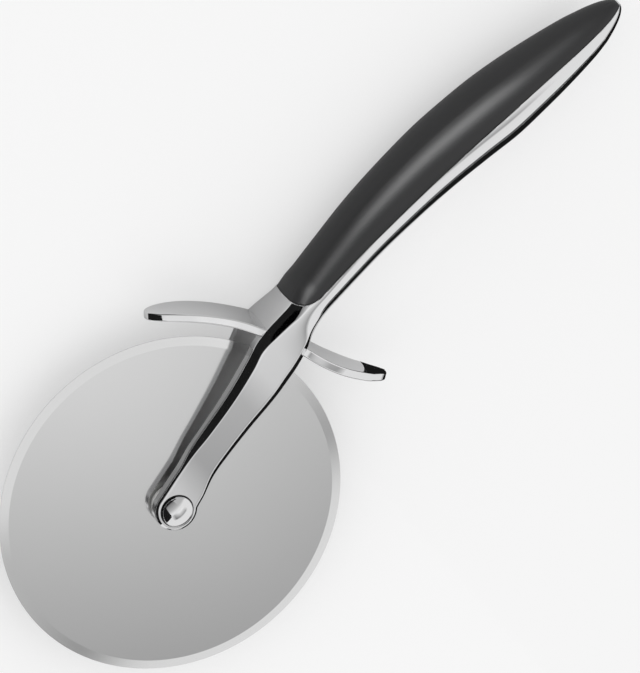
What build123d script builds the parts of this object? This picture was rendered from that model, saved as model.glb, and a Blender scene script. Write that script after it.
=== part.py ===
# A pizza cutter lying on its side. A steel disc turns on a riveted axle between the two
# arms of a die-cast, plated frame. The frame runs on through the neck, where an S-shaped
# finger guard is seated, to the lower half of the grip, which a black cover closes.
#
# The pieces are drawn in the wheel's frame: the axle is the Z axis, X runs along the grip
# to its end and Y points to the cover. At the end they are moved so that the origin is
# the middle of the footprint, on the surface that the cutter lies on.
import os
from math import atan2, cos, degrees, radians, sin, sqrt, tan

from build123d import *

# Blade
blade_diameter = 100.0
blade_thickness = 1.0
bevel_width = 2.6
edge_thickness = 0.2

# Axle and hub
axle_diameter = 4.0
running_clearance = 0.05
seat_clearance = 0.02
side_play = 0.1
bush_wall = 1.2
bush_flange_diameter = 11.0
bush_flange_thickness = 1.0
washer_diameter = 10.0
washer_thickness = 0.6
head_diameter = 8.9
head_skirt = 1.4
head_crown = 1.4
head_sink = 0.4
head_margin = 0.4
cap_bore_depth = 1.6
cap_crown = 0.8
cap_chamfer = 1.6

# Fork
boss_diameter = 12.4
boss_cut = 0.3
boss_touch_angle = 109.0
boss_leave_angle = -40.0
arm_thickness_at_boss = 3.4
fork_width = 20.8
fork_swell = 0.5
slot_width_at_neck = 10.8
straight_reach = 8.0
neck_gap = 7.5
neck_top = 25.6
neck_bottom = 12.5
band_width = 2.4
lower_cut = 1.5

# Finger guard
guard_gap = 5.45
guard_thickness = 2.7
guard_spread = 13.25
guard_root_angle = 26.8
guard_turn_angle = 13.1
guard_flare_radius = 61.6
guard_upper_sweep = 40.6
guard_lower_sweep = 25.3
guard_width = 15.8

# Grip
grip_length = 127.5
grip_height = 21.0
grip_width = 20.8
grip_level = 27.0
grip_wall = 2.3
cover_inset = 0.15
cover_front_rise = 5.0
cover_front_reach = 8.5
parting_level = 26.4
tip_lip = 0.6
tip_flat = 0.15

# Pegs of the cover in the frame's sockets
peg_diameter = 3.6
peg_depth = 4.0
peg_clearance = 0.1
socket_wall = 1.8

overrun = 5.0

blade_radius = blade_diameter / 2
neck_reach = blade_radius + neck_gap
grip_end = neck_reach + grip_length
overall_length = blade_radius + grip_end
boss_radius = boss_diameter / 2
axle_radius = axle_diameter / 2
bore_radius = axle_radius + running_clearance
sleeve_radius = bore_radius + bush_wall
flange_level = blade_thickness / 2 + bush_flange_thickness
washer_level = flange_level + side_play
arm_level = washer_level + washer_thickness
boss_level = arm_level + arm_thickness_at_boss
head_seat = boss_level - head_sink
half_width = fork_width / 2

# Stations along the fork: place as a share of the neck's reach, top edge as a share of the
# way from the boss to the neck's top, bottom edge as a share of the way from the boss to
# the neck's bottom, width as a share of the way from the boss to the cheeks, and the two
# cuts and the roundness as shares of their full sizes.
fork_shares = [
    (0.139, 0.140, 0.190, 0.000, 0.125, 0.2, 0.0),
    (0.243, 0.270, 0.350, 0.170, 0.35, 0.6, 0.0),
    (0.348, 0.376, 0.460, 0.330, 0.52, 0.7, 0.0),
    (0.539, 0.575, 0.625, 0.670, 0.62, 0.8, 0.0),
    (0.730, 0.815, 0.765, 1.000, 0.75, 0.9, 0.0),
    (0.817, 0.935, 0.835, 1.000, 0.85, 1.0, 0.0),
    (0.904, 0.990, 0.905, 1.000, 0.98, 1.0, 0.05),
]

# Stations along the grip: place as a share of the way from the neck to the end, level of
# the middle as a share of the grip's level, height and width as shares of their full
# sizes, and the roundness, from a chamfered bar at 0 to a full oval at 1.
grip_shares = [
    (0.000, 0.708, 0.636, 0.955, 0.18),
    (0.032, 0.749, 0.588, 0.925, 0.45),
    (0.067, 0.794, 0.680, 0.890, 0.85),
    (0.098, 0.817, 0.724, 0.866, 1.0),
    (0.176, 0.876, 0.788, 0.866, 1.0),
    (0.255, 0.932, 0.846, 0.885, 1.0),
    (0.333, 0.968, 0.894, 0.914, 1.0),
    (0.412, 0.991, 0.933, 0.943, 1.0),
    (0.490, 1.000, 0.968, 0.981, 1.0),
    (0.569, 0.988, 0.990, 0.995, 1.0),
    (0.647, 0.966, 1.000, 0.995, 1.0),
    (0.725, 0.949, 0.926, 0.952, 1.0),
    (0.804, 0.927, 0.824, 0.837, 1.0),
    (0.882, 0.906, 0.686, 0.686, 1.0),
    (0.922, 0.896, 0.577, 0.577, 1.0),
]
tip_fullness_share = 0.47

# Where the slot between the arms reaches its full width, as a share of the neck's reach
slot_full_share = 0.77

# Steps of the lofts along the fork, the neck, the grip, its tip, the end of the tip and the
# channel inside the grip
fork_steps = 6
neck_steps = 5
grip_steps = 20
tip_steps = 7
end_steps = 2
channel_steps = 6

# The channel's corner cuts as a share of its half height, which make a regular octagon
channel_cut_share = 0.586

# Where the corners of the chamfered bar lie on the oval, as angles from the top
corner_angles = [35.0, 87.0, 122.0, 150.0]

# The parting line: place as a share of the grip, level as a share of its highest level
parting_shares = [
    (0.098, 0.840),
    (0.255, 0.914),
    (0.412, 0.967),
    (0.569, 0.997),
    (0.725, 0.990),
    (0.882, 0.938),
    (0.961, 0.910),
]

# Where the cover's pegs stand, as shares of the grip
peg_shares = [0.255, 0.725]

# Outline of the guard's wings: height as a share of the way from root to tip, and width
# as a share of the full width. Each wing starts with a slope towards its middle.
upper_wing_shares = [(0.23, 0.83), (0.52, 0.74), (0.75, 0.64), (0.93, 0.40)]
lower_wing_shares = [(0.33, 0.92), (0.53, 0.84), (0.70, 0.69), (0.85, 0.53)]
wing_slope_share = 0.3


def along(start, end, share):
    """The value that lies a share of the way from start to end."""
    return start + (end - start) * share


def bar_corners(top, bottom, half, top_cut, low_cut):
    """The four corners on one side of a chamfered bar, as (level, width) pairs."""
    return [
        (top, half - top_cut),
        (top - top_cut, half),
        (bottom + low_cut, half),
        (bottom, half - low_cut),
    ]


def straight_edge(start, end):
    """The four control points of a straight edge."""
    return [
        tuple(along(a, b, step / 3) for a, b in zip(start, end)) for step in range(4)
    ]


def oval_edge(middle, half_height, half, start, end):
    """The four control points of a stretch of an oval between two angles from its top."""
    reach = 4 / 3 * tan(radians(end - start) / 4)
    points = []
    for angle, pull in ((start, reach), (end, -reach)):
        turn = radians(angle)
        on_oval = (middle + half_height * cos(turn), half * sin(turn))
        slope = (-half_height * sin(turn), half * cos(turn))
        points.append((on_oval, tuple(p + pull * s for p, s in zip(on_oval, slope))))
    (first, after), (last, before) = points
    return [first, after, before, last]


def section_edges(top, bottom, half, top_cut, low_cut, roundness):
    """Curved edges round a section, from a chamfered bar to a full oval."""
    side = bar_corners(top, bottom, half, top_cut, low_cut)
    corners = side + [(level, -width) for level, width in reversed(side)] + side[:1]
    angles = corner_angles + [360 - angle for angle in reversed(corner_angles)]
    angles.append(360 + corner_angles[0])
    middle = (top + bottom) / 2
    half_height = (top - bottom) / 2
    edges = []
    for index in range(len(corners) - 1):
        bar = straight_edge(corners[index], corners[index + 1])
        oval = oval_edge(middle, half_height, half, angles[index], angles[index + 1])
        edges.append(
            [
                tuple(along(a, b, roundness) for a, b in zip(from_bar, from_oval))
                for from_bar, from_oval in zip(bar, oval)
            ]
        )
    return edges


def fork_stations():
    """Place, top, bottom, half width, cuts and roundness of each station of the fork."""
    return [
        (
            place * neck_reach,
            along(boss_radius, neck_top, top),
            along(-boss_radius, neck_bottom, bottom),
            along(boss_level, half_width + fork_swell, width),
            top_cut * band_width,
            low_cut * lower_cut,
            roundness,
        )
        for place, top, bottom, width, top_cut, low_cut, roundness in fork_shares
    ]


def grip_stations():
    """The same for each station of the grip."""
    return [
        (
            along(neck_reach, grip_end, place),
            level * grip_level + height * grip_height / 2,
            level * grip_level - height * grip_height / 2,
            width * grip_width / 2,
            band_width,
            lower_cut,
            roundness,
        )
        for place, level, height, width, roundness in grip_shares
    ]


def slope(rows, index):
    """How each value changes along the rows, at one row, from its two neighbours."""
    before = rows[max(index - 1, 0)]
    after = rows[min(index + 1, len(rows) - 1)]
    return [(b - a) / (after[0] - before[0]) for a, b in zip(before, after)]


def curve_at(rows, place):
    """The row at any place, on a smooth curve through the rows."""
    index = max(i for i, row in enumerate(rows[:-1]) if row[0] <= place)
    start, end = rows[index], rows[index + 1]
    span = end[0] - start[0]
    t = (place - start[0]) / span
    return [
        a * (1 + 2 * t) * (1 - t) ** 2
        + b * t**2 * (3 - 2 * t)
        + span * (leave * t * (1 - t) ** 2 - reach * t**2 * (1 - t))
        for a, b, leave, reach in zip(start, end, slope(rows, index), slope(rows, index + 1))
    ]


def section_at(place):
    """The section at any place of the fork, the neck, the grip or its tip."""
    if place > tip_start:
        return tip_section(place)
    *sizes, roundness = curve_at(stations, place)
    return (*sizes, min(roundness, 1))


def tip_section(place):
    """The section in the rounded tip, which closes like a bullet's nose."""
    start, top, bottom, half, *others = stations[-1]
    left = ((grip_end - place) / (grip_end - start)) ** tip_fullness_share
    middle = (top + bottom) / 2
    reach = (top - bottom) / 2 * left
    return (place, middle + reach, middle - reach, half * left, *others)


def draw_sections(places, inset=0, keep=None):
    """A sketch of the section at each place, drawn in by an inset. One side of the parting
    line can be kept alone: the top or the bottom."""
    sketches = []
    for place in places:
        _, top, bottom, half, top_cut, low_cut, roundness = section_at(place)
        with BuildSketch(Plane.YZ.offset(place)) as section:
            with BuildLine():
                for edge in section_edges(
                    top - inset, bottom + inset, half - inset, top_cut, low_cut, roundness
                ):
                    Bezier(*edge)
            make_face()
            if keep:
                split(bisect_by=Plane.YZ.offset(parting_level_at(place)), keep=keep)
        sketches.append(section.sketch)
    return sketches


def draw_channel(places):
    """A sketch of the channel inside the grip at each place: an octagon within the wall."""
    sketches = []
    for place in places:
        _, top, bottom, half, *_ = section_at(place)
        cut = (top - bottom - 2 * grip_wall) / 2 * channel_cut_share
        side = bar_corners(top - grip_wall, bottom + grip_wall, half - grip_wall, cut, cut)
        with BuildSketch(Plane.YZ.offset(place)) as section:
            with BuildLine():
                Polyline(*side, *[(level, -width) for level, width in reversed(side)], close=True)
            make_face()
        sketches.append(section.sketch)
    return sketches


def even_places(start, end, count):
    """Places at even steps, ends included."""
    return [along(start, end, step / count) for step in range(count + 1)]


def eased_places(start, end, count):
    """Even steps, with one more place inside the first and the last, where the form turns."""
    places = even_places(start, end, count)
    early = (places[0] + places[1]) / 2
    late = (places[-2] + places[-1]) / 2
    return [places[0], early, *places[1:-1], late, places[-1]]


def tip_places(start, end, count):
    """Places in the tip, closer and closer to its end."""
    first, last = (sqrt((grip_end - place) / (grip_end - tip_start)) for place in (start, end))
    return [
        grip_end - (grip_end - tip_start) * along(first, last, step / count) ** 2
        for step in range(count + 1)
    ]


def grip_place(share):
    """A place along the grip, from the neck to the end."""
    return along(neck_reach, grip_end, share)


def parting_level_at(place):
    """The parting line's level at any place: past its last point it stays level."""
    return curve_at(parting_line, min(place, parting_line[-1][0]))[1]


stations = fork_stations() + grip_stations()
parting_line = [(grip_place(place), level * parting_level) for place, level in parting_shares]
fork_start = stations[0][0]
fork_stop = stations[len(fork_shares) - 2][0]
neck_stop = parting_line[0][0]
tip_start = stations[-1][0]
lip_start = grip_end - tip_lip


def neck_form(inset):
    """The neck, where the chamfered bar of the fork becomes the oval of the grip."""
    with BuildPart() as neck:
        loft(sections=draw_sections(eased_places(fork_stop, neck_stop, neck_steps), inset))
    return neck.part


def half_grip(inset, keep):
    """The grip above or below the parting line, from the neck to the lip at its end."""
    grip_run = even_places(neck_stop, tip_start, grip_steps)
    tip_run = tip_places(tip_start, lip_start, tip_steps)
    with BuildPart() as half:
        loft(sections=draw_sections(grip_run, inset, keep), ruled=True)
        loft(sections=draw_sections(tip_run, inset, keep), ruled=True)
    return half.part


# Guard geometry: the upper arc bends round a point behind the axle, the lower arc turns
# the other way and touches it
bend_radius = blade_radius + guard_gap + guard_thickness + guard_spread
bend_x = -guard_spread * cos(radians(guard_root_angle))
bend_y = -guard_spread * sin(radians(guard_root_angle))
flare_x = bend_x + (bend_radius + guard_flare_radius) * cos(radians(guard_turn_angle))
flare_y = bend_y + (bend_radius + guard_flare_radius) * sin(radians(guard_turn_angle))
upper_tip_angle = guard_turn_angle + guard_upper_sweep
lower_tip_angle = 180 + guard_turn_angle + guard_lower_sweep
upper_tip_level = bend_y + bend_radius * sin(radians(upper_tip_angle))
lower_tip_level = flare_y + guard_flare_radius * sin(radians(lower_tip_angle))
slot_half = slot_width_at_neck / 2


def guard_line(depth):
    """The guard's curve, drawn in from the grip's side by a depth, past both tips."""
    extra = degrees(overrun / bend_radius)
    CenterArc(
        (bend_x, bend_y),
        bend_radius - depth,
        upper_tip_angle + extra,
        -guard_upper_sweep - extra,
    )
    CenterArc(
        (flare_x, flare_y),
        guard_flare_radius + depth,
        180 + guard_turn_angle,
        guard_lower_sweep + extra,
    )


def dome(radius, height, base):
    """A crowned end, from its rim at the base level to the axis."""
    ball = (radius**2 + height**2) / (2 * height)
    half_turn = atan2(radius, ball - height) / 2
    middle = (ball * sin(half_turn), base + height - ball * (1 - cos(half_turn)))
    return ThreePointArc((radius, base), middle, (0, base + height))


# The zone of the neck that the cover takes: its front edge falls steeply from the top and
# turns into the parting line
with BuildSketch() as front_zone:
    with BuildLine():
        front_x, front_y = parting_line[0]
        rise = slope(parting_line, 0)
        past = tuple(value + overrun * change for value, change in zip(parting_line[0], rise))
        front = TangentArc(
            (front_x, front_y),
            (front_x - cover_front_reach, front_y + cover_front_rise),
            tangent=tuple(-change for change in rise),
        )
        Polyline(
            (front_x, front_y),
            past,
            (past[0], parting_level + grip_height),
            (front_x - cover_front_reach, parting_level + grip_height),
            front @ 1,
        )
    make_face()

with BuildPart() as front_side:
    extrude(front_zone.sketch, amount=grip_width, both=True)

# Posts for the cover's pegs: they stand in the channel, in the frame and in the cover alike
peg_places = [(grip_place(share), parting_level_at(grip_place(share))) for share in peg_shares]
peg_radius = peg_diameter / 2
post_radius = peg_radius + peg_clearance + socket_wall


def columns(radius, below, above):
    """A round column at each peg's place, from below to above the parting line."""
    with BuildPart() as column_set:
        for peg_x, peg_y in peg_places:
            with BuildSketch(Plane.XZ.offset(below - peg_y)):
                with Locations((peg_x, 0)):
                    Circle(radius)
            extrude(amount=-(below + above))
    return column_set.part


# The channel inside the grip, shared by the frame and the cover, with the posts left standing
channel_start = grip_place(grip_shares[4][0])
channel_end = grip_place(grip_shares[13][0])
with BuildPart() as channel:
    loft(sections=draw_channel(even_places(channel_start, channel_end, channel_steps)), ruled=True)
    add(columns(post_radius, grip_height, grip_height), mode=Mode.SUBTRACT)

# The slot between the arms: it widens towards the neck and ends on the guard's curve
with BuildSketch(Plane.XZ) as slot_plan:
    with BuildLine():
        Polyline(
            (-blade_radius, arm_level),
            (straight_reach, arm_level),
            (neck_reach * slot_full_share, slot_half),
            (neck_reach + overrun, slot_half),
            (neck_reach + overrun, -slot_half),
            (neck_reach * slot_full_share, -slot_half),
            (straight_reach, -arm_level),
            (-blade_radius, -arm_level),
            close=True,
        )
    make_face()

with BuildSketch() as wheel_side:
    with BuildLine() as wheel_side_line:
        guard_line(0)
        Line(wheel_side_line.line @ 1, (-blade_radius, lower_tip_level - overrun))
        Line(
            (-blade_radius, lower_tip_level - overrun),
            (-blade_radius, upper_tip_level + overrun),
        )
        Line((-blade_radius, upper_tip_level + overrun), wheel_side_line.line @ 0)
    make_face()

with BuildPart() as slot:
    extrude(slot_plan.sketch, amount=overall_length, both=True)
    extrude(wheel_side.sketch, amount=fork_width, both=True, mode=Mode.INTERSECT)

# The frame's outer form: the fork and the neck, cut flat at the cheeks, and the lower half
# of the grip, which closes in a lip at its end
with BuildPart() as outer_form:
    loft(sections=draw_sections(even_places(fork_start, fork_stop, fork_steps)))
    add(neck_form(0))
    with BuildSketch():
        with Locations(((fork_start + neck_stop) / 2, 0)):
            Rectangle(neck_stop, overall_length)
    extrude(amount=half_width, both=True, mode=Mode.INTERSECT)
    add(front_side.part, mode=Mode.SUBTRACT)
    add(half_grip(0, Keep.BOTTOM))
    loft(sections=draw_sections(tip_places(lip_start, grip_end - tip_flat, end_steps)))

arm_place, arm_top, arm_bottom = stations[0][:3]
upper_turn = radians(boss_touch_angle)
lower_turn = radians(boss_leave_angle)
with BuildPart() as arm_end:
    with BuildSketch():
        Circle(boss_radius)
        with BuildLine():
            Polyline(
                (boss_radius * cos(upper_turn), boss_radius * sin(upper_turn)),
                (arm_place, arm_top),
                (arm_place, arm_bottom),
                (boss_radius * cos(lower_turn), boss_radius * sin(lower_turn)),
                close=True,
            )
        make_face()
    extrude(amount=boss_level, both=True)
    chamfer(
        arm_end.edges().group_by(Axis.Z)[0] + arm_end.edges().group_by(Axis.Z)[-1],
        length=boss_cut,
    )

with BuildPart() as handle_frame:
    add(outer_form.part)
    add(channel.part, mode=Mode.SUBTRACT)
    add(
        columns(peg_radius + peg_clearance, peg_depth + peg_clearance, overrun),
        mode=Mode.SUBTRACT,
    )
    add(arm_end.part)
    add(slot.part, mode=Mode.SUBTRACT)
    with Locations(
        Location((0, 0, boss_level)),
        Location((0, 0, -boss_level), (180, 0, 0)),
    ):
        CounterBoreHole(
            radius=bore_radius,
            counter_bore_radius=head_diameter / 2 + head_margin,
            counter_bore_depth=head_sink,
            depth=arm_thickness_at_boss + washer_thickness,
        )
handle_frame.part.label = "handle_frame"

# The cover: the shell above the parting line, with its pegs
with BuildPart() as cover_form:
    add(neck_form(cover_inset))
    add(front_side.part, mode=Mode.INTERSECT)
    add(half_grip(cover_inset, Keep.TOP))

with BuildPart() as grip_cover:
    add(cover_form.part)
    add(channel.part, mode=Mode.SUBTRACT)
    add(columns(peg_radius, peg_depth, peg_depth))
grip_cover.part.label = "grip_cover"

# The guard: an S-shaped band, cut to the outline of its two wings and to the fork
with BuildPart() as finger_guard:
    with BuildSketch():
        with BuildLine():
            with BuildLine() as grip_side:
                guard_line(0)
            with BuildLine() as blade_side:
                guard_line(guard_thickness)
            Line(grip_side.line @ 0, blade_side.line @ 0)
            Line(grip_side.line @ 1, blade_side.line @ 1)
        make_face()
    extrude(amount=guard_width, both=True)
    with BuildSketch(Plane.YZ):
        with BuildLine() as wing_outline:
            guard_half = guard_width / 2
            for root, tip, outward, shares in (
                (neck_top, upper_tip_level, 1, upper_wing_shares),
                (neck_bottom, lower_tip_level, -1, lower_wing_shares),
            ):
                Spline(
                    (root, guard_half),
                    *[(along(root, tip, level), guard_half * width) for level, width in shares],
                    (tip, 0),
                    tangents=[(outward, -wing_slope_share), (0, -1)],
                )
            Line((neck_top, guard_half), (neck_bottom, guard_half))
            mirror(about=Plane.XZ)
        make_face()
    extrude(amount=overall_length, both=True, mode=Mode.INTERSECT)
    add(handle_frame.part, mode=Mode.SUBTRACT)
finger_guard.part.label = "finger_guard"

# The wheel: the blade with its ground edge, held between the two halves of its bush
with BuildPart() as blade:
    with BuildSketch(Plane.XZ):
        with BuildLine():
            Polyline(
                (sleeve_radius + seat_clearance, -blade_thickness / 2),
                (blade_radius - bevel_width, -blade_thickness / 2),
                (blade_radius, -edge_thickness / 2),
                (blade_radius, edge_thickness / 2),
                (blade_radius - bevel_width, blade_thickness / 2),
                (sleeve_radius + seat_clearance, blade_thickness / 2),
                close=True,
            )
        make_face()
    revolve(axis=Axis.Z)
blade.part.label = "blade"

flange_radius = bush_flange_diameter / 2
with BuildPart() as hub_bush_front:
    with BuildSketch(Plane.XZ):
        with BuildLine():
            Polyline(
                (bore_radius, flange_level),
                (flange_radius, flange_level),
                (flange_radius, blade_thickness / 2),
                (sleeve_radius, blade_thickness / 2),
                (sleeve_radius, -flange_level),
                (bore_radius, -flange_level),
                close=True,
            )
        make_face()
    revolve(axis=Axis.Z)
hub_bush_front.part.label = "hub_bush_front"

with BuildPart() as hub_bush_back:
    with BuildSketch(Plane.XY.offset(-flange_level)):
        Circle(flange_radius)
        Circle(sleeve_radius + seat_clearance, mode=Mode.SUBTRACT)
    extrude(amount=bush_flange_thickness)
hub_bush_back.part.label = "hub_bush_back"


def thrust_washer(name, level):
    """A flat washer on the axle, with its lower face at a level."""
    with BuildPart() as washer:
        with BuildSketch(Plane.XY.offset(level)):
            Circle(washer_diameter / 2)
            Circle(bore_radius, mode=Mode.SUBTRACT)
        extrude(amount=washer_thickness)
    washer.part.label = name
    return washer.part


thrust_washer_front = thrust_washer("thrust_washer_front", washer_level)
thrust_washer_back = thrust_washer("thrust_washer_back", -arm_level)

# The axle: a rivet whose domed head sits on the near arm, and a flatter cap on its far end
head_radius = head_diameter / 2
head_rim = head_seat + head_skirt
cap_floor = head_seat + cap_bore_depth
with BuildPart() as axle_pin:
    with BuildSketch(Plane.XZ):
        with BuildLine():
            Polyline(
                (0, head_rim + head_crown),
                (0, -cap_floor),
                (axle_radius, -cap_floor),
                (axle_radius, head_seat),
                (head_radius, head_seat),
                (head_radius, head_rim),
            )
            dome(head_radius, head_crown, head_rim)
        make_face()
    revolve(axis=Axis.Z)
axle_pin.part.label = "axle_pin"

cap_rim = head_rim + cap_crown
with BuildPart() as axle_cap:
    with BuildSketch(Plane.XZ):
        with BuildLine():
            Polyline(
                (0, -cap_floor),
                (axle_radius + seat_clearance, -cap_floor),
                (axle_radius + seat_clearance, -head_seat),
                (head_radius, -head_seat),
                (head_radius, -head_rim),
                (head_radius - cap_chamfer, -cap_rim),
                (0, -cap_rim),
                close=True,
            )
        make_face()
    revolve(axis=Axis.Z)
axle_cap.part.label = "axle_cap"

# Every piece is set down with the origin in the middle of the footprint
pieces = [
    handle_frame.part,
    finger_guard.part,
    grip_cover.part,
    blade.part,
    hub_bush_front.part,
    hub_bush_back.part,
    thrust_washer_front,
    thrust_washer_back,
    axle_pin.part,
    axle_cap.part,
]
middle_x = (grip_end - blade_radius) / 2
middle_y = (upper_tip_level - blade_radius) / 2
lying = Location((-middle_x, -middle_y, half_width))

os.makedirs("parts", exist_ok=True)
for piece in pieces:
    export_step(piece.moved(lying), f"parts/{piece.label}.step")
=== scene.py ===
# The looks of a pizza cutter that lies on its side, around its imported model. The pieces are
# drawn in millimetres in the wheel's frame, whose origin is the middle of the blade, with X
# along the grip and Y towards the cover, and are then set down as the model lies.
from math import asin, cos, pi, radians, sin, sqrt

import bmesh
import bpy
from mathutils import Matrix, Vector


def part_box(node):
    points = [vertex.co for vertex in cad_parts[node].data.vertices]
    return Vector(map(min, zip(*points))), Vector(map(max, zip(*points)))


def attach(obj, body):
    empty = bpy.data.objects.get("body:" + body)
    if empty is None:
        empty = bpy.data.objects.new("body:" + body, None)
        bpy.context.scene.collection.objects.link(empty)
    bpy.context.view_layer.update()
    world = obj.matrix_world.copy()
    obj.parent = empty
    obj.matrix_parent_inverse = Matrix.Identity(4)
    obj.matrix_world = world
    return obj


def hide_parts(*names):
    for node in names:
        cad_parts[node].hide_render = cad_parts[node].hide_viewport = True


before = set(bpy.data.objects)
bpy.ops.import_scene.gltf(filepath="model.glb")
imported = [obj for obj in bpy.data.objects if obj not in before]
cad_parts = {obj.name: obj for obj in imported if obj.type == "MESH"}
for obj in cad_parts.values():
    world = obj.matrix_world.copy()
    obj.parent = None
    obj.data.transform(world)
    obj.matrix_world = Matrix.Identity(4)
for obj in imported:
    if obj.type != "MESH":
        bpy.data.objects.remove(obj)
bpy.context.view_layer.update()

mm = 0.001
hub = (Vector(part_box("blade")[0]) + Vector(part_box("blade")[1])) / 2

# Camera: the cutter is seen from this direction, through a long lens
view_back = Vector((0.0, 0.5, 0.866)).normalized()
tilt_share = 0.6654
look_at = Vector((61.74 * mm, 8.025 * mm, 0.0))
camera_distance = 3.0
seen_height = 186.53 * mm
sensor = 36.0

# Wheel and axle
blade_radius = 49.99
blade_half = 0.5
bevel_width = 2.6
edge_half = 0.1
blade_rings = (10.0, 30.0)
sleeve_radius = 3.25
seat_clearance = 0.02
axle_radius = 2.0
head_radius = 4.45
head_seat = 5.2
head_rim = 6.6
head_crown = 1.4
head_margin = 0.4
cap_rim = 7.4
cap_chamfer = 1.6
cap_floor = 6.8
rim_in, rim_up, rim_down = 0.06, 0.02, 0.08
cap_ease, cap_ease_down = 0.05, 0.02
cap_crease, cap_crease_up = 0.1, 0.04

# Fork, neck and grip
boss_radius = 6.2
boss_level = 5.6
boss_cut = 0.8
boss_drop = 0.56
boss_touch_angle = 109.0
boss_leave_angle = 320.0
arm_level = 2.2
cheek = 10.39
rise_start = 2.0
slot_half = 5.4
slot_full = 44.3
straight_reach = 8.0
neck_reach = 57.5
neck_top = 25.6
neck_bottom = 12.5
band_width = 2.5
lower_cut = 2.2
lower_drop_share = 0.7
arm_spread = 0.145
spread_places = (4.0, 14.0, 34.0, 50.0)
grip_end = 185.0
grip_height = 21.0
grip_width = 20.8
grip_level = 27.0
cover_inset = 0.15
cover_front_rise = 5.0
cover_front_reach = 8.5
parting_level = 26.4
lip_start = 184.4
tip_flat = 0.16
tip_fullness_share = 0.47
corner_round = 0.25
lip_round = 0.22
lip_full_width = 1.5
lip_floor_inward = 0.3
lip_floor_drop = 0.8
inside_level = 24.3

# Guard
guard_thickness = 2.7
bend_radius = 71.4
bend_x, bend_y = -11.827, -5.974
flare_radius = 61.6
guard_turn = radians(13.1)
guard_half = 7.9
upper_tip = 51.55
lower_tip = -14.09
guard_round = 0.45
guard_crown = 0.3
wing_root_slope = -0.3
wing_tip_slope = -1.3

# Stations along the fork, the neck and the grip, near those of the model's source.
# Fork: place, top, bottom, upper cut, lower cut, roundness
fork_shares = [
    (0.139, 0.140, 0.190, 0.25, 0.45, 0.0),
    (0.243, 0.270, 0.350, 0.48, 0.7, 0.0),
    (0.348, 0.376, 0.460, 0.66, 0.8, 0.0),
    (0.539, 0.575, 0.625, 0.76, 0.88, 0.0),
    (0.730, 0.815, 0.765, 0.86, 0.9, 0.0),
    (0.817, 0.935, 0.835, 0.85, 1.0, 0.0),
    (0.904, 0.990, 0.905, 0.98, 1.0, 0.05),
]
# Grip: place, level of the middle, height, width, roundness
grip_shares = [
    (0.000, 0.708, 0.636, 0.955, 0.18),
    (0.032, 0.749, 0.588, 0.925, 0.45),
    (0.067, 0.794, 0.680, 0.890, 0.85),
    (0.098, 0.817, 0.724, 0.866, 1.0),
    (0.176, 0.876, 0.788, 0.866, 1.0),
    (0.255, 0.932, 0.846, 0.885, 1.0),
    (0.333, 0.968, 0.894, 0.914, 1.0),
    (0.412, 0.991, 0.933, 0.943, 1.0),
    (0.490, 1.000, 0.968, 0.981, 1.0),
    (0.569, 0.988, 0.990, 0.995, 1.0),
    (0.647, 0.966, 1.000, 0.995, 1.0),
    (0.725, 0.949, 0.926, 0.952, 1.0),
    (0.804, 0.927, 0.824, 0.837, 1.0),
    (0.882, 0.906, 0.686, 0.686, 1.0),
    (0.922, 0.896, 0.577, 0.577, 1.0),
]
# Parting line: place, level
parting_shares = [
    (0.098, 0.840),
    (0.255, 0.914),
    (0.412, 0.967),
    (0.569, 0.997),
    (0.725, 0.990),
    (0.882, 0.938),
    (0.961, 0.910),
]
# Guard's wings: level, width
upper_wing_shares = [(0.23, 0.83), (0.52, 0.74), (0.75, 0.64), (0.93, 0.40)]
lower_wing_shares = [(0.33, 0.92), (0.53, 0.84), (0.70, 0.69), (0.85, 0.53)]
corner_turns = [0.0, 35.0, 87.0, 122.0, 150.0, 180.0]

# Samples on each edge of half a section: strip, chamfer, face, chamfer, strip
edge_counts = [3, 7, 16, 5, 3]
corner_samples = 5
corner_limit_share = 0.4
slot_limit_share = 0.7
least_edge = 0.001

# Steps between the rows of the skins, and how points that meet are joined
boss_step_share = 0.02
arm_step = 0.7
neck_step = 0.5
opening_reach, opening_rows = 1.6, 14
steady_reach, steady_step = 2.0, 0.3
grip_step = 0.9
tip_rows = 36
end_lip, end_step = 0.15, 0.03
round_count = 96
blade_count = 240
guard_across_count = 12
wing_steps = 14
dome_rings = 16
weld_distance = 0.004
least_length = 0.002


def along(start, end, share):
    return start + (end - start) * share


def clamp(value, low, high):
    return max(low, min(high, value))


def smooth(share):
    """From 0 to 1 with a soft start and a soft end."""
    share = clamp(share, 0.0, 1.0)
    return share * share * (3 - 2 * share)


def arm_half(place):
    """The arm's half width: even at its round end, then wider up to the neck, in a soft curve."""
    start, full, fading, end = spread_places
    rise = clamp(place - start, 0, full - start) ** 2 / (2 * (full - start))
    steady = clamp(place - full, 0, fading - full)
    fade = clamp(place - fading, 0, end - fading)
    return boss_level + arm_spread * (rise + steady + fade - fade**2 / (2 * (end - fading)))


# The sections, from the same tables and curves as the model
stations = [
    (
        place * neck_reach,
        along(boss_radius, neck_top, top),
        along(-boss_radius, neck_bottom, bottom),
        arm_half(place * neck_reach),
        top_cut * band_width,
        low_cut * lower_cut,
        roundness,
    )
    for place, top, bottom, top_cut, low_cut, roundness in fork_shares
] + [
    (
        along(neck_reach, grip_end, place),
        level * grip_level + height * grip_height / 2,
        level * grip_level - height * grip_height / 2,
        width * grip_width / 2,
        band_width,
        lower_cut,
        roundness,
    )
    for place, level, height, width, roundness in grip_shares
]
arm_start = stations[0][0]

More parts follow.
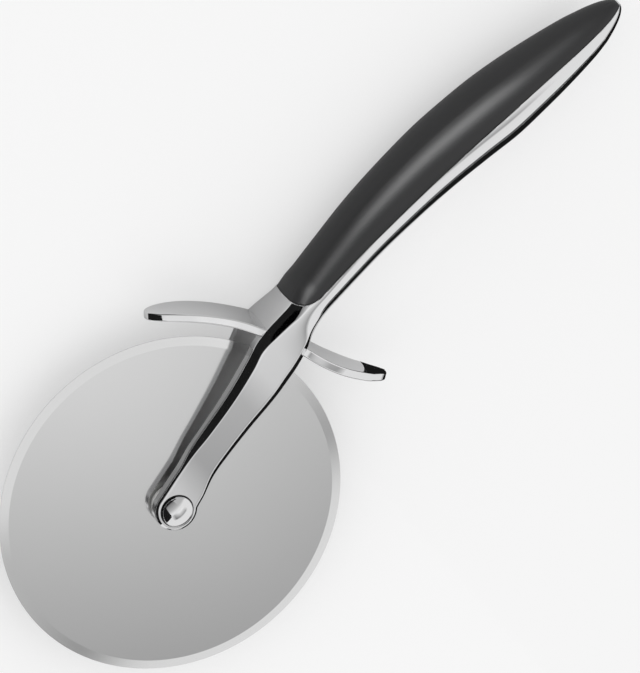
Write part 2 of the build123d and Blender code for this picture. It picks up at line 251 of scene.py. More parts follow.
# A row inside the arm's round end lets the arm's curves start there
rim_touch = Vector((cos(radians(boss_touch_angle)), sin(radians(boss_touch_angle)))) * boss_radius
rim_leave = Vector((cos(radians(boss_leave_angle)), sin(radians(boss_leave_angle)))) * boss_radius
rise = (stations[0][1] - rim_touch.y) / (arm_start - rim_touch.x)
fall = (stations[0][2] - rim_leave.y) / (arm_start - rim_leave.x)
stations.insert(
    0,
    (
        rise_start,
        rim_touch.y + (rise_start - rim_touch.x) * rise,
        rim_leave.y + (rise_start - rim_leave.x) * fall,
        boss_level,
        boss_cut,
        boss_cut,
        0.0,
    ),
)
parting_line = [
    (along(neck_reach, grip_end, place), level * parting_level)
    for place, level in parting_shares
]
tip_start = stations[-1][0]


def slope(rows, index):
    before = rows[max(index - 1, 0)]
    after = rows[min(index + 1, len(rows) - 1)]
    return [(b - a) / (after[0] - before[0]) for a, b in zip(before, after)]


def curve_at(rows, place):
    """The row at any place, on a smooth curve through the rows."""
    index = max([i for i, row in enumerate(rows[:-1]) if row[0] <= place] or [0])
    start, end = rows[index], rows[index + 1]
    span = end[0] - start[0]
    t = (place - start[0]) / span
    return [
        a * (1 + 2 * t) * (1 - t) ** 2
        + b * t**2 * (3 - 2 * t)
        + span * (leave * t * (1 - t) ** 2 - reach * t**2 * (1 - t))
        for a, b, leave, reach in zip(start, end, slope(rows, index), slope(rows, index + 1))
    ]


def section_at(place):
    """Top, bottom, half width, cuts and roundness at any place."""
    if place > tip_start:
        start, top, bottom, half, *others = stations[-1]
        left = ((grip_end - place) / (grip_end - start)) ** tip_fullness_share
        level, tall = (top + bottom) / 2, (top - bottom) / 2 * left
        return (level + tall, level - tall, half * left, *others)
    _, top, bottom, half, top_cut, low_cut, roundness = curve_at(stations, place)
    if place < stations[6][0]:
        half = arm_half(place)
    return (top, bottom, half, top_cut, low_cut, clamp(roundness, 0.0, 1.0))


def trace(corners, oval=(0, 0, 0), roundness=0.0):
    """Samples down half a section with small round corners, from its top to its bottom."""

    def spot(edge, share):
        bar = corners[edge].lerp(corners[edge + 1], share)
        if roundness == 0:
            return bar
        turn = radians(along(corner_turns[edge], corner_turns[edge + 1], share))
        level, tall, wide = oval
        rounded = Vector((bar.x, level + tall * cos(turn), wide * sin(turn)))
        return bar.lerp(rounded, roundness)

    lengths = [max((b - a).length, least_edge) for a, b in zip(corners, corners[1:])]
    cuts = [min(corner_round / length, corner_limit_share) for length in lengths]
    last_edge = len(lengths) - 1
    points = []
    for edge, count in enumerate(edge_counts):
        first = 0.0 if edge == 0 else cuts[edge]
        last = 1.0 if edge == last_edge else 1 - cuts[edge]
        if edge == 0:
            mark = min(slot_half / lengths[0], slot_limit_share)
            shares = [mark * k / count for k in range(count)]
            shares += [along(mark, last, k / count) for k in range(count)]
        elif edge == last_edge:
            mark = 1 - min(slot_half / lengths[edge], slot_limit_share)
            shares = [along(first, mark, k / count) for k in range(1, count + 1)]
            shares += [along(mark, 1.0, k / count) for k in range(1, count + 1)]
        else:
            shares = [along(first, last, k / count) for k in range(1, count)]
        points += [spot(edge, share) for share in shares]
        if edge < last_edge:
            before, corner = spot(edge, 1 - cuts[edge]), spot(edge, 1.0)
            after = spot(edge + 1, cuts[edge + 1])
            for k in range(corner_samples):
                u = k / (corner_samples - 1)
                points.append(before * (1 - u) ** 2 + corner * (2 * u * (1 - u)) + after * u**2)
    return points


def half_ring(place, inset=0.0):
    """Half of the section at a place, on the side of +Z."""
    top, bottom, half, top_cut, low_cut, roundness = section_at(place)
    top, bottom, half = top - inset, bottom + inset, half - inset
    oval = ((top + bottom) / 2, (top - bottom) / 2, half)
    pairs = [
        (top, 0),
        (top, half - top_cut),
        (top - top_cut, half),
        (bottom + low_cut, half),
        (bottom, half - low_cut * lower_drop_share),
        (bottom, 0),
    ]
    points = trace([Vector((place, y, z)) for y, z in pairs], oval, roundness)
    return [Vector((p.x, p.y, min(p.z, cheek))) for p in points]


def boss_path(end_turn, end_point, share):
    """A point and its outward direction on the boss's rim and then on the arm's edge."""
    sweep = radians(end_turn - 180)
    touch = Vector((boss_radius * cos(pi + sweep), boss_radius * sin(pi + sweep)))
    arc = boss_radius * abs(sweep)
    line = (end_point - touch).length
    way = share * (arc + line)
    if way <= arc:
        turn = pi + sweep * way / arc
        out = Vector((cos(turn), sin(turn)))
        return out * boss_radius, out
    part = (way - arc) / line
    run = (end_point - touch).normalized()
    side = 1 if end_point.y > 0 else -1
    flat = Vector((-run.y, run.x)) * side
    if flat.y * side < 0:
        flat = -flat
    out = flat.lerp(Vector((0, side)), smooth(part)).normalized()
    return touch.lerp(end_point, part), out


def boss_ring(share):
    """Half a section of the arm's round end, between two points of its outline."""
    place, top, bottom, _, top_cut, low_cut, _ = stations[1]
    up, up_out = boss_path(boss_touch_angle, Vector((place, top)), share)
    low, low_out = boss_path(boss_leave_angle, Vector((place, bottom)), share)
    near = smooth(share)
    up_in = up - up_out * along(boss_cut, top_cut, near)
    low_in = low - low_out * along(boss_cut, low_cut, near)
    up_drop = along(boss_drop, top_cut, near)
    low_drop = along(boss_drop, low_cut * lower_drop_share, near)
    up_face, low_face = arm_half(up_in.x), arm_half(low_in.x)
    return trace(
        [
            Vector((*up, 0)),
            Vector((*up, up_face - up_drop)),
            Vector((*up_in, up_face)),
            Vector((*low_in, low_face)),
            Vector((*low, low_face - low_drop)),
            Vector((*low, 0)),
        ]
    )


def slot_at(place):
    share = (place - straight_reach) / (slot_full - straight_reach)
    return along(arm_level, slot_half, clamp(share, 0.0, 1.0))


# The rings near the guard lean with it
guard_place, guard_lean = 53.4, 2.2
lean_from, lean_to = 41.0, 60.8
lean_reach_share = 0.75
lean_ring = half_ring(guard_place)
lean_middle = (lean_ring[0].y + lean_ring[-1].y) / 2
lean_half = (lean_ring[0].y - lean_ring[-1].y) / 2 * lean_reach_share
lean_shares = [clamp((lean_middle - p.y) / lean_half, -1.0, 1.0) for p in lean_ring]


def leaning_ring(place):
    if place < guard_place:
        lean = guard_lean * smooth((place - lean_from) / (guard_place - lean_from))
    else:
        lean = guard_lean * smooth((lean_to - place) / (lean_to - guard_place))
    if lean == 0:
        return half_ring(place)
    return [half_ring(place + lean * share)[j] for j, share in enumerate(lean_shares)]


def mirrored(points):
    return [Vector((p.x, p.y, -p.z)) for p in points]


class Skin:
    """A mesh that grows from rows of points. Points that meet are joined at the end."""

    def __init__(self):
        self.points, self.faces, self.kinds = [], [], []

    def patch(self, points):
        base = len(self.points)
        self.points += points
        self.faces.append(list(range(base, base + len(points))))
        self.kinds.append(0)

    def rows(self, rows, closed=False, kind=0):
        width = len(rows[0])
        base = len(self.points)
        for row in rows:
            self.points += row
        for i in range(len(rows) - 1):
            for j in range(width if closed else width - 1):
                a, b = base + i * width + j, base + i * width + (j + 1) % width
                self.faces.append([a, b, b + width, a + width])
                self.kinds.append(kind)

    def closed_mesh(self, name, materials):
        """A mesh without double points or empty faces, with its faces turned outwards."""
        mesh = bpy.data.meshes.new(name)
        mesh.from_pydata([tuple(hub + p * mm) for p in self.points], [], self.faces)
        for material in materials:
            mesh.materials.append(material)
        mesh.polygons.foreach_set("material_index", self.kinds)
        work = bmesh.new()
        work.from_mesh(mesh)
        bmesh.ops.remove_doubles(work, verts=work.verts, dist=weld_distance * mm)
        bmesh.ops.dissolve_degenerate(work, edges=work.edges, dist=least_length * mm)
        bmesh.ops.recalc_face_normals(work, faces=work.faces)
        loose = [v for v in work.verts if not v.link_faces]
        bmesh.ops.delete(work, geom=loose, context="VERTS")
        work.to_mesh(mesh)
        work.free()
        return mesh

    def finish(self, name, materials, body, nodes=(), sharp=32.0, cutters=()):
        """The piece that stands for nodes of the model, less what its cutters take away."""
        piece = bpy.data.objects.new(name, self.closed_mesh(name, materials))
        bpy.context.collection.objects.link(piece)
        if cutters:
            piece.data = cut_away(piece, cutters)
        mesh = piece.data
        mesh.polygons.foreach_set("use_smooth", [True] * len(mesh.polygons))
        mesh.set_sharp_from_angle(angle=radians(sharp))
        weigh = piece.modifiers.new("even_normals", "WEIGHTED_NORMAL")
        weigh.keep_sharp = True
        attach(piece, body)
        if nodes:
            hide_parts(*nodes)
        return piece


def cut_away(piece, cutters):
    """The piece's mesh less its cutters, whose material comes with the cut faces."""
    tools = []
    for index, (cutter, material) in enumerate(cutters):
        tool = bpy.data.objects.new(f"cutter_{index}", cutter.closed_mesh("cutter", [material]))
        bpy.context.collection.objects.link(tool)
        cut = piece.modifiers.new(f"cut_{index}", "BOOLEAN")
        cut.operation = "DIFFERENCE"
        cut.solver = "EXACT"
        cut.material_mode = "TRANSFER"
        cut.object = tool
        tools.append(tool)
    bpy.context.view_layer.update()
    seen = piece.evaluated_get(bpy.context.evaluated_depsgraph_get())
    mesh = bpy.data.meshes.new_from_object(seen)
    piece.modifiers.clear()
    for tool in tools:
        bpy.data.objects.remove(tool)
    return mesh


def spun(profile, count):
    """Rows of a profile of (radius, level) pairs, turned about the axle."""
    return [
        [
            Vector((radius * cos(2 * pi * k / count), radius * sin(2 * pi * k / count), level))
            for radius, level in profile
        ]
        for k in range(count + 1)
    ]


# The cover's front edge is an arc that runs on in the parting line
front_point = Vector(parting_line[0])
front_run = -Vector(slope(parting_line, 0)).normalized()
front_across = Vector((front_run.y, -front_run.x))
front_end = Vector((-cover_front_reach, cover_front_rise))
front_radius = front_end.length_squared / (2 * front_end.dot(front_across))
front_middle = front_point + front_across * front_radius


def cut_level(place):
    """The level at which the cover meets the frame."""
    if place < front_point.x:
        reach = front_radius**2 - (place - front_middle.x) ** 2
        return front_middle.y - sqrt(max(reach, 0.0))
    return curve_at(parting_line, min(place, parting_line[-1][0]))[1]


def cut_open(inset, gap):
    """The place at which the cover's front edge leaves the top of the neck."""
    low, high = front_point.x - cover_front_reach + 0.01, front_point.x
    for _ in range(40):
        middle = (low + high) / 2
        if cut_level(middle) + gap > section_at(middle)[0] - inset:
            low = middle
        else:
            high = middle
    return high


def crossing(points, level):
    """Where half a ring falls below a level: the sample before it, and the point."""
    for j, (a, b) in enumerate(zip(points, points[1:])):
        if a.y >= level > b.y:
            return j, a.lerp(b, (a.y - level) / (a.y - b.y))
    return 0, points[0].copy()


def cut_rows(places, inset, gap, keep_top):
    """Half rows of a skin that ends at the cut in a small round lip, with the lip's samples
    first, from the middle plane outwards."""
    rings = [half_ring(place, inset) for place in places]
    found = [crossing(ring, cut_level(place) + gap) for ring, place in zip(rings, places)]
    edge = [point for _, point in found]
    rows = []
    for i, (ring, (j, point)) in enumerate(zip(rings, found)):
        before, after = edge[max(i - 1, 0)], edge[min(i + 1, len(edge) - 1)]
        run = (after - before).normalized()
        beside = (ring[j] - ring[j + 1]).normalized()
        out = run.cross(beside).normalized()
        if out.dot(Vector((0, point.y - inside_level, point.z))) < 0:
            out = -out
        toward = out.cross(run).normalized()
        if toward.dot(beside) < 0:
            toward = -toward
        if keep_top:
            toward = -toward
        size = lip_round * clamp(point.z / lip_full_width, 0.0, 1.0)
        centre = point - toward * size - out * size
        lip = [
            centre + (out * cos(turn) + toward * sin(turn)) * size
            for turn in (radians(a) for a in (0, 22.5, 45, 67.5, 90))
        ]
        floor = lip[-1].copy()
        floor.z = max(floor.z - lip_floor_inward * size / lip_round, 0.0)
        if not keep_top:
            floor -= toward * lip_floor_drop * size / lip_round
        middle = Vector((floor.x, floor.y, 0.0))
        if keep_top:
            row = ring[: j + 1] + [lip[0]] * (len(ring) - j - 1) + lip + [floor, middle]
            rows.append([p.copy() for p in row])
        else:
            row = [middle, floor] + lip[::-1] + [lip[0]] * (j + 1) + ring[j + 1 :]
            rows.append([p.copy() for p in row])
    return rows


def spread(start, end, step):
    count = max(1, round((end - start) / step))
    return [along(start, end, k / count) for k in range(count + 1)]


def skin_places(start, end):
    """Places along the cover: close together at its steep front and in the round tip."""
    opening = [start + opening_reach * (k / opening_rows) ** 2 for k in range(opening_rows)]
    steady = spread(start + opening_reach, front_point.x + steady_reach, steady_step)[:-1]
    grip = spread(front_point.x + steady_reach, tip_start, grip_step)[:-1]
    first = sqrt(grip_end - tip_start)
    last = sqrt(grip_end - end)
    tip = [grip_end - along(first, last, k / tip_rows) ** 2 for k in range(tip_rows + 1)]
    return opening + steady + grip + tip


# Materials
def new_material(name):
    """A node material with a Principled shader, and a short way to add nodes to it."""
    material = bpy.data.materials.new(name)
    material.use_nodes = True
    tree = material.node_tree
    return material, tree, tree.nodes["Principled BSDF"]


def speckle(tree, scale, detail, low, high):
    """A fine noise over the piece, as a number from low to high."""
    place = tree.nodes.new("ShaderNodeTexCoord")
    noise = tree.nodes.new("ShaderNodeTexNoise")
    noise.inputs["Scale"].default_value = scale
    noise.inputs["Detail"].default_value = detail
    spread_out = tree.nodes.new("ShaderNodeMapRange")
    spread_out.inputs["To Min"].default_value = low
    spread_out.inputs["To Max"].default_value = high
    tree.links.new(place.outputs["Object"], noise.inputs["Vector"])
    tree.links.new(noise.outputs["Fac"], spread_out.inputs["Value"])
    return spread_out.outputs["Result"]


def roughen(tree, shader, scale, depth):
    """Very small bumps in the surface."""
    bump = tree.nodes.new("ShaderNodeBump")
    bump.inputs["Strength"].default_value = 1.0
    bump.inputs["Distance"].default_value = depth
    tree.links.new(speckle(tree, scale, 3.0, 0.0, 1.0), bump.inputs["Height"])
    tree.links.new(bump.outputs["Normal"], shader.inputs["Normal"])


def metal(name, colour, smoothest, roughest, scale):
    """Bare metal with a fine uneven polish."""
    material, tree, shader = new_material(name)
    shader.inputs["Metallic"].default_value = 1.0
    shader.inputs["Base Color"].default_value = (*colour, 1.0)
    tree.links.new(speckle(tree, scale, 4.0, smoothest, roughest), shader.inputs["Roughness"])
    return material


def plastic(name, colour, smoothest, roughest, grain_scale, grain_depth):
    """Plastic with a fine grain."""
    material, tree, shader = new_material(name)
    shader.inputs["Base Color"].default_value = (*colour, 1.0)
    tree.links.new(speckle(tree, 60.0, 3.0, smoothest, roughest), shader.inputs["Roughness"])
    roughen(tree, shader, grain_scale, grain_depth)
    return material


def dress(node, material):
    """A node of the model gets its material."""
    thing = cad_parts[node]
    thing.data.materials.clear()
    thing.data.materials.append(material)


chrome = metal("chrome", (0.86, 0.86, 0.865), 0.03, 0.07, 90.0)
inner_metal = metal("plated_inside", (0.8, 0.8, 0.8), 0.42, 0.5, 120.0)
# Painted shade: a near-black metal for the cut faces of the recesses round the rivet's head and
# cap, standing in for the shade inside them
seat_painted_shade = metal("seat_shadow", (0.05, 0.05, 0.05), 0.5, 0.6, 200.0)
steel = metal("blade_steel", (0.82, 0.82, 0.82), 0.11, 0.15, 45.0)
black = plastic("black_cover", (0.014, 0.014, 0.015), 0.36, 0.42, 2500.0, 0.003 * mm)
nylon = plastic("nylon", (0.8, 0.8, 0.78), 0.38, 0.46, 900.0, 0.004 * mm)

# Frame: the two arms, then the neck and the grip
frame_skin = Skin()
arm_rows = [boss_ring(share) for share in spread(0.0, 1.0, boss_step_share)]
arm_rows += [leaning_ring(place) for place in spread(arm_start, guard_place, arm_step)[1:]]
arm_rows = [[Vector((p.x, p.y, max(p.z, slot_at(p.x)))) for p in row] for row in arm_rows]
for rows in (arm_rows, [mirrored(row) for row in arm_rows]):
    frame_skin.rows(rows)
    frame_skin.rows([[row[-1], row[0]] for row in rows], kind=1)

open_place = cut_open(0.0, 0.0)
neck_rows = [leaning_ring(place) for place in spread(guard_place, open_place, neck_step)[:-1]]
neck_rows = [[row[0].copy() for _ in range(7)] + row for row in neck_rows]
grip_rows = cut_rows(skin_places(open_place, lip_start), 0.0, 0.0, False)
end_rows = []
for turn in (radians(a) for a in (0, 30, 60, 90)):
    place = lip_start + end_lip * (1 - cos(turn))
    whole, drawn = half_ring(place), half_ring(place, end_lip * (1 - sin(turn)))
    level = cut_level(place)
    row = [a.lerp(b, smooth((a.y - level) / 0.5 + 0.5)) for a, b in zip(whole, drawn)]
    end_rows.append([row[0].copy() for _ in range(7)] + row)
for place in spread(lip_start + end_lip, grip_end - tip_flat, end_step)[1:]:
    row = half_ring(place)
    end_rows.append([row[0].copy() for _ in range(7)] + row)
body_rows = neck_rows + grip_rows + end_rows
for rows in (body_rows, [mirrored(row) for row in body_rows]):
    frame_skin.rows(rows)
wall = neck_rows[0][7:]
count = edge_counts[0]
frame_skin.patch(
    wall[count::-1]
    + mirrored(wall[1 : count + 1])
    + mirrored(wall[-count - 1 : -1])
    + wall[: -count - 2 : -1]
)
end_ring = end_rows[-1][7:]
frame_skin.patch(end_ring + mirrored(end_ring[-2:0:-1]))
# Recesses round the rivet's head and cap, whose cut faces take the painted shade
seats = []
for side in (1, -1):
    seat = Skin()
    reach = head_radius + head_margin
    levels = (side * head_seat, side * (boss_level + 1))
    seat_profile = [(0, levels[0]), (reach, levels[0]), (reach, levels[1]), (0, levels[1])]
    seat.rows(spun(seat_profile, round_count))
    seats.append((seat, seat_painted_shade))
frame_skin.finish(
    "handle_frame_skin",
    [chrome, inner_metal],
    "handle",
    ["handle_frame"],
    cutters=seats,
)

# Cover
cover_skin = Skin()
cover_gap = 0.05
cover_open = cut_open(cover_inset, cover_gap)
cover_rows = cut_rows(skin_places(cover_open, lip_start - 0.04), cover_inset, cover_gap, True)
for rows in (cover_rows, [mirrored(row) for row in cover_rows]):
    cover_skin.rows(rows)
cover_end = cover_rows[-1]
cover_skin.patch(cover_end + mirrored(cover_end[-2:0:-1]))
cover_piece = cover_skin.finish(
    "grip_cover_skin", [black], "handle", ["grip_cover"]
)


# Guard
def guard_point(level, across, depth):
    """A point of the guard, by the level along Y on its side to the grip, the distance
    across it and the depth from that side."""
    if level >= bend_y + bend_radius * sin(guard_turn):
        turn = asin((level - bend_y) / bend_radius)
        radius = bend_radius - depth
        return Vector((bend_x + radius * cos(turn), bend_y + radius * sin(turn), across))
    flare_x = bend_x + (bend_radius + flare_radius) * cos(guard_turn)
    flare_y = bend_y + (bend_radius + flare_radius) * sin(guard_turn)
    turn = asin((flare_y - level) / flare_radius)
    radius = flare_radius + depth
    return Vector((flare_x - radius * cos(turn), flare_y - radius * sin(turn), across))


def wing(root, tip, outward, shares):
    """The outline of a wing from its root to its tip, as (level, half width) pairs."""
    knots = [Vector((root, guard_half))]
    knots += [Vector((along(root, tip, level), guard_half * width)) for level, width in shares]
    knots.append(Vector((tip, 0)))
    chords = [(b - a).length for a, b in zip(knots, knots[1:])]
    slopes = [Vector((outward, wing_root_slope)).normalized()]
    for k in range(1, len(knots) - 1):
        slopes.append((knots[k + 1] - knots[k - 1]) / (chords[k - 1] + chords[k]))
    slopes.append(Vector((0, wing_tip_slope)))
    line = []
    for k, chord in enumerate(chords):
        for step in range(wing_steps):
            t = step / wing_steps
            line.append(
                knots[k] * (1 + 2 * t) * (1 - t) ** 2
                + knots[k + 1] * t**2 * (3 - 2 * t)
                + slopes[k] * (chord * t * (1 - t) ** 2)
                - slopes[k + 1] * (chord * t**2 * (1 - t))
            )
    return line + [knots[-1]]


upper_line = wing(neck_top, upper_tip, 1, upper_wing_shares)
lower_line = wing(neck_bottom, lower_tip, -1, lower_wing_shares)
straight_line = [
    Vector((along(neck_bottom, neck_top, k / wing_steps), guard_half))
    for k in range(1, wing_steps)
]
outline = lower_line[::-1] + straight_line + upper_line
inward = []
for k, point in enumerate(outline):
    run = (outline[min(k + 1, len(outline) - 1)] - outline[max(k - 1, 0)]).normalized()
    inward.append(Vector((run.y, -run.x)))
inward[0], inward[-1] = Vector((1, 0)), Vector((-1, 0))
layers = []
for a in (0, 18, 36, 54, 72, 90):
    layers.append((guard_round * (1 - sin(radians(a))), guard_round * (1 - cos(radians(a)))))
far_layers = [(drawn, guard_thickness - depth) for drawn, depth in reversed(layers)]
guard_rows = []
for point, turn in zip(outline, inward):
    side = []
    for drawn, depth in layers + far_layers:
        at = point + turn * drawn
        crown = guard_crown if depth < guard_thickness / 2 else 0.0
        side.append((at.x, max(at.y, 0.0), depth + crown))
    top_level, top_half = side[0][:2]
    low_level, low_half, low_depth = side[-1]
    spots = [guard_point(*one) for one in side]
    across = [k / guard_across_count for k in range(guard_across_count + 1)]
    face = [
        guard_point(top_level, top_half * (2 * s - 1), guard_crown * (2 * s - 1) ** 2)
        for s in across
    ]
    back = [guard_point(low_level, low_half * (1 - 2 * s), low_depth) for s in across]
    ring = face[:-1] + spots + back[1:-1] + mirrored(spots)[::-1]
    guard_rows.append(ring)
guard_skin = Skin()
guard_skin.rows(guard_rows, closed=True)
guard_skin.finish("finger_guard_skin", [chrome], "handle", ["finger_guard"])

# Blade
bore = sleeve_radius + seat_clearance
bevel = blade_radius - bevel_width
blade_profile = [
    (bore, -blade_half),
    (blade_rings[0], -blade_half),
    (blade_rings[1], -blade_half),
    (bevel, -blade_half),
    (blade_radius, -edge_half),
    (blade_radius, edge_half),
    (bevel, blade_half),
    (blade_rings[1], blade_half),
    (blade_rings[0], blade_half),
    (bore, blade_half),
    (bore, -blade_half),
]
blade_skin = Skin()
blade_skin.rows(spun(blade_profile, blade_count))
blade_skin.finish("blade_skin", [steel], "wheel", ["blade"], sharp=5.0)

# Rivet and cap
ball = (head_radius**2 + head_crown**2) / (2 * head_crown)
ball_turn = asin(head_radius / ball)
dome_turns = [ball_turn * k / dome_rings for k in range(dome_rings + 1)]
dome = [(ball * sin(turn), head_rim + head_crown - ball * (1 - cos(turn))) for turn in dome_turns]
pin_skin = Skin()
pin_skin.rows(
    spun(
        dome[:-1]
        + [(head_radius - rim_in, head_rim + rim_up), (head_radius, head_rim - rim_down)]
        + [(head_radius, head_seat), (axle_radius, head_seat)]
        + [(axle_radius, -cap_floor), (0, -cap_floor)],
        round_count,
    )
)
pin_skin.finish("axle_pin_skin", [chrome], "handle", ["axle_pin"])

cap_skin = Skin()
cap_skin.rows(
    spun(
        [
            (0, -cap_floor),
            (axle_radius + seat_clearance, -cap_floor),
            (axle_radius + seat_clearance, -head_seat),
            (head_radius, -head_seat),
            (head_radius, -head_rim + cap_ease),
            (head_radius - cap_ease, -head_rim - cap_ease_down),
            (head_radius - cap_chamfer + cap_crease, -cap_rim + cap_crease_up),
            (head_radius - cap_chamfer - cap_crease, -cap_rim),
            (0, -cap_rim),
        ],
        round_count,
    )
)
cap_skin.finish("axle_cap_skin", [chrome], "handle", ["axle_cap"])

for node in ("hub_bush_front", "hub_bush_back"):
    dress(node, nylon)
for node in ("thrust_washer_front", "thrust_washer_back"):
    dress(node, steel)


def make_camera():
    """A camera at the photograph's angle, with the grip rising to the right."""
    across = Vector((0.0, -view_back.z, view_back.y))
    right = Vector((sqrt(1 - tilt_share**2), 0.0, 0.0)) + tilt_share * across
    up = view_back.cross(right)
    data = bpy.data.cameras.new("camera")
    data.sensor_width = sensor
    data.lens = sensor * camera_distance / seen_height
    data.clip_start, data.clip_end = 0.1, 50.0
    camera = bpy.data.objects.new("camera", data)
    bpy.context.collection.objects.link(camera)
    turn = Matrix((right, up, view_back)).transposed().to_4x4()
    camera.matrix_world = Matrix.Translation(hub + look_at + view_back * camera_distance) @ turn
    bpy.context.scene.camera = camera


def plane(name, middle, across, along_edge, material, seen_by_gloss_only=False):
    """A flat card that isn't part of the cutter, spanned by two half edges."""
    corners = [
        middle + a * across + b * along_edge for a, b in ((-1, -1), (1, -1), (1, 1), (-1, 1))
    ]
    return card_of(name, corners, material, seen_by_gloss_only)


def card_of(name, corners, material, seen_by_gloss_only=False):
    """A flat card that isn't part of the cutter, by its corners."""
    mesh = bpy.data.meshes.new(name)
    mesh.from_pydata([tuple(c) for c in corners], [], [tuple(range(len(corners)))])
    mesh.materials.append(material)
    card = bpy.data.objects.new(name, mesh)
    bpy.context.collection.objects.link(card)
    if seen_by_gloss_only:
        card.visible_camera = False
        card.visible_diffuse = False
        card.visible_shadow = False
        card.visible_transmission = False
    return card


def glow(name, strength):
    """A card's even glow, from black to white."""
    material = bpy.data.materials.new(name)
    material.use_nodes = True
    tree = material.node_tree
    tree.nodes.clear()
    out = tree.nodes.new("ShaderNodeOutputMaterial")
    light = tree.nodes.new("ShaderNodeEmission")
    light.inputs["Color"].default_value = (strength, strength, strength, 1.0)
    tree.links.new(light.outputs[0], out.inputs["Surface"])
    return material


make_camera()


def graph(tree, value, stops):
    """A number that follows a value through (share, level) stops."""
    ramp = tree.nodes.new("ShaderNodeValToRGB")
    marks = ramp.color_ramp.elements
    while len(marks) > 1:
        marks.remove(marks[-1])
    for index, (share, level) in enumerate(stops):
        mark = marks[0] if index == 0 else marks.new(share)
        mark.position = share
        mark.color = (level, level, level, 1.0)
    tree.links.new(value, ramp.inputs["Fac"])
    return ramp.outputs["Color"]


def combine(tree, operation, first, second):
    """The sum, product or the like of two values, each a socket or a number."""
    node = tree.nodes.new("ShaderNodeMath")
    node.operation = operation
    for socket, value in zip(node.inputs, (first, second)):
        if isinstance(value, float):
            socket.default_value = value
        else:
            tree.links.new(value, socket)
    return node.outputs["Value"]


def pass_through(material):
    """The card shows on one side only: from behind, light passes."""
    tree = material.node_tree
    side = tree.nodes.new("ShaderNodeNewGeometry")
    clear = tree.nodes.new("ShaderNodeBsdfTransparent")
    mix = tree.nodes.new("ShaderNodeMixShader")
    tree.links.new(side.outputs["Backfacing"], mix.inputs["Fac"])
    tree.links.new(tree.nodes["Emission"].outputs[0], mix.inputs[1])
    tree.links.new(clear.outputs[0], mix.inputs[2])
    tree.links.new(mix.outputs["Shader"], tree.nodes["Material Output"].inputs["Surface"])


def studio_light():
    """An even light for the surfaces, and a studio of light and dark fields for the gloss.
    The fields are bands round the grip's axis, from the far side over the top to the near.
    Past the grip's two ends, nothing is darker than the side level."""
    world = bpy.data.worlds.new("studio")
    bpy.context.scene.world = world
    world.use_nodes = True
    tree = world.node_tree
    even = tree.nodes["Background"]
    even.inputs["Color"].default_value = (1.0, 1.0, 1.0, 1.0)
    even.inputs["Strength"].default_value = even_level
    fields = tree.nodes.new("ShaderNodeBackground")
    way = tree.nodes.new("ShaderNodeTexCoord")
    parts = tree.nodes.new("ShaderNodeSeparateXYZ")
    turn = tree.nodes.new("ShaderNodeMath")
    turn.operation = "ARCTAN2"
    share = tree.nodes.new("ShaderNodeMapRange")
    share.inputs["From Max"].default_value = pi
    rays = tree.nodes.new("ShaderNodeLightPath")
    mix = tree.nodes.new("ShaderNodeMixShader")
    link = tree.links.new
    link(way.outputs["Generated"], parts.inputs["Vector"])
    link(parts.outputs["Z"], turn.inputs[0])
    link(parts.outputs["Y"], turn.inputs[1])
    link(turn.outputs["Value"], share.inputs["Value"])
    stops = [(angle / 180, level) for angle, level in gloss_bands]
    bands = graph(tree, share.outputs["Result"], stops)
    along_grip = combine(tree, "MULTIPLY", combine(tree, "ADD", parts.outputs["X"], 1.0), 0.5)
    past_ends = graph(tree, along_grip, end_fields)
    level = combine(tree, "MAXIMUM", bands, past_ends)
    link(level, fields.inputs["Color"])
    link(rays.outputs["Is Glossy Ray"], mix.inputs["Fac"])
    link(even.outputs["Background"], mix.inputs[1])
    link(fields.outputs["Background"], mix.inputs[2])
    link(mix.outputs["Shader"], tree.nodes["World Output"].inputs["Surface"])


def fading_card(name, middle, across, along_edge):
    """A card for the gloss. Its glow changes over it, and meets the sky's level at its border."""
    material = glow(name, sky_level)
    tree = material.node_tree
    place = tree.nodes.new("ShaderNodeTexCoord")
    parts = tree.nodes.new("ShaderNodeSeparateXYZ")
    tree.links.new(place.outputs["UV"], parts.inputs["Vector"])
    x, y = parts.outputs["X"], parts.outputs["Y"]
    level = graph(tree, y, card_rise_shares)
    side = graph(tree, x, card_side_shares)
    inside_x = graph(tree, x, card_length_shares)
    inside_y = graph(tree, y, card_width_shares)
    inside = combine(tree, "MULTIPLY", inside_x, inside_y)
    change = combine(tree, "SUBTRACT", combine(tree, "MULTIPLY", level, side), sky_level)
    total = combine(tree, "ADD", combine(tree, "MULTIPLY", change, inside), sky_level)
    tree.links.new(total, tree.nodes["Emission"].inputs["Color"])
    card = plane(name, middle, across, along_edge, material, seen_by_gloss_only=True)
    corners = card.data.uv_layers.new(name="place")
    for corner, at in zip(corners.data, ((0, 0), (1, 0), (1, 1), (0, 1))):
        corner.uv = at
    return card


def floor_look():
    """A pale floor, a little darker where glossy parts mirror it, and lifted for the camera."""
    material, tree, shader = new_material("floor")
    rays = tree.nodes.new("ShaderNodeLightPath")
    tone = tree.nodes.new("ShaderNodeMix")
    tone.data_type = "RGBA"
    tone.inputs["A"].default_value = (floor_level, floor_level, floor_level, 1.0)
    tone.inputs["B"].default_value = (mirrored_floor, mirrored_floor, mirrored_floor, 1.0)
    lift = tree.nodes.new("ShaderNodeEmission")
    lift.inputs["Color"].default_value = (floor_glow, floor_glow, floor_glow, 1.0)
    mix = tree.nodes.new("ShaderNodeMixShader")
    share = combine(tree, "MULTIPLY", rays.outputs["Is Camera Ray"], glow_share)
    link = tree.links.new
    link(rays.outputs["Is Glossy Ray"], tone.inputs["Factor"])
    link(tone.outputs["Result"], shader.inputs["Base Color"])
    link(share, mix.inputs["Fac"])
    link(shader.outputs["BSDF"], mix.inputs[1])
    link(lift.outputs["Emission"], mix.inputs[2])
    link(mix.outputs["Shader"], tree.nodes["Material Output"].inputs["Surface"])
    return material


# Floor, in metres
floor_half, floor_drop = 4.0, 0.0002
floor_level, mirrored_floor = 0.94, 0.66
floor_glow, glow_share = 0.93, 0.5

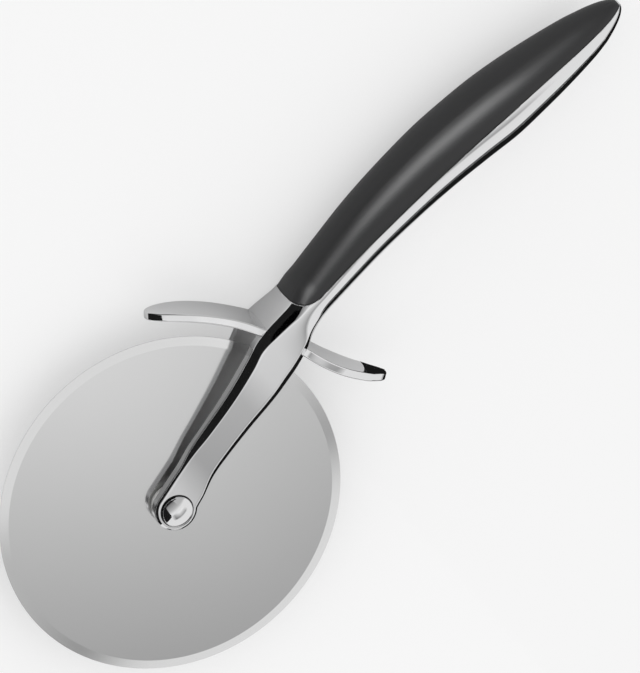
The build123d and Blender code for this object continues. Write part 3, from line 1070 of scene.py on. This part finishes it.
# Overhead card, in metres, and its glow over its width and its length
toward_card = Vector((0.0, -0.5, 0.866))
overhead_distance, overhead_shift = 0.4, 0.013
overhead_half_length, overhead_half_width = 0.248, 0.115
card_rise_shares = [(0.174, 0.34), (0.826, 0.9)]
card_side_shares = [(0.2, 0.5), (0.47, 1.0)]
card_length_shares = [(0.0, 0.0), (0.19, 1.0), (0.8, 1.0), (1.0, 0.0)]
card_width_shares = [(0.0, 0.0), (0.2, 1.0), (0.8, 1.0), (1.0, 0.0)]

# Grip's card, in metres
band_turn = radians(48)
band_middle = (0.125, 0.026, 0.0)
band_distance = 0.3
band_half_length, band_half_width = 0.09, 0.07
band_glow = 9.0

# Dark cards: outlines in millimetres from the wheel's middle, the rivet's card in metres
dark_level = 0.01
arm_card_level, grip_card_level = 0.9, 0.6
beside_arm = [(-9, -5), (-9, -80), (52, -80), (50, 7)]
beside_grip = [(46, -1000), (500, -1000), (500, 12), (140, 12), (92, -8), (46, -14)]
rivet_card_middle = (-0.3, 0.12, 0.3)
rivet_card_half = (0.3, 0.25)

# Light fields. Angles are from the far side of the grip, over the top, to the near side
even_level = 1.0
sky_level = 0.82
side_level = 0.5
end_fields = [(0.04, side_level), (0.1, 0.0), (0.59, 0.0), (0.65, side_level)]
gloss_bands = [
    (0, 0.9),
    (4, 0.9),
    (5, 0.012),
    (56, 0.012),
    (62, 0.25),
    (85, 0.5),
    (98, sky_level),
    (172, sky_level),
    (174, 0.03),
    (180, 0.03),
]
studio_light()
floor_across, floor_along = Vector((floor_half, 0, 0)), Vector((0, floor_half, 0))
plane("floor", Vector((0, 0, -floor_drop)), floor_across, floor_along, floor_look())

# A pale card above the near side gives the flat faces their slow fade
overhead_middle = hub + toward_card * overhead_distance + Vector((overhead_shift, 0, 0))
overhead_along = Vector((0, toward_card.z, -toward_card.y)) * overhead_half_width
fading_card("overhead_card", overhead_middle, Vector((overhead_half_length, 0, 0)), overhead_along)

# A lit card over the grip, which lights the cover alone, draws the broad soft band along it
cover_only = bpy.data.collections.new("cover_only")
cover_only.objects.link(cover_piece)
band_way = Vector((0.0, cos(band_turn), sin(band_turn)))
grip_card = plane(
    "grip_card",
    hub + Vector(band_middle) + band_way * band_distance,
    Vector((band_half_length, 0, 0)),
    Vector((0.0, -band_way.z, band_way.y)) * band_half_width,
    glow("grip_glow", band_glow),
    seen_by_gloss_only=True,
)
grip_card.light_linking.receiver_collection = cover_only

# A dark card just over the blade, seen from above, draws the dark line under the arm
dark_above = glow("dark_above", dark_level)
pass_through(dark_above)
card_of(
    "beside_arm_card",
    [hub + Vector((x, y, arm_card_level)) * mm for x, y in beside_arm],
    dark_above,
    seen_by_gloss_only=True,
)

# A dark card on the floor draws the dark line along the grip's lower edge
dark = glow("dark_card", dark_level)
card_of(
    "beside_grip_card",
    [Vector((hub.x + x * mm, hub.y + y * mm, grip_card_level * mm)) for x, y in beside_grip],
    dark,
    seen_by_gloss_only=True,
)

# A dark card past the wheel shades the left side of the rivet's dome
plane(
    "rivet_card",
    hub + Vector(rivet_card_middle),
    Vector((0, rivet_card_half[0], 0)),
    Vector((0, 0, rivet_card_half[1])),
    dark,
    seen_by_gloss_only=True,
)
bpy.context.scene.view_settings.view_transform = "Standard"
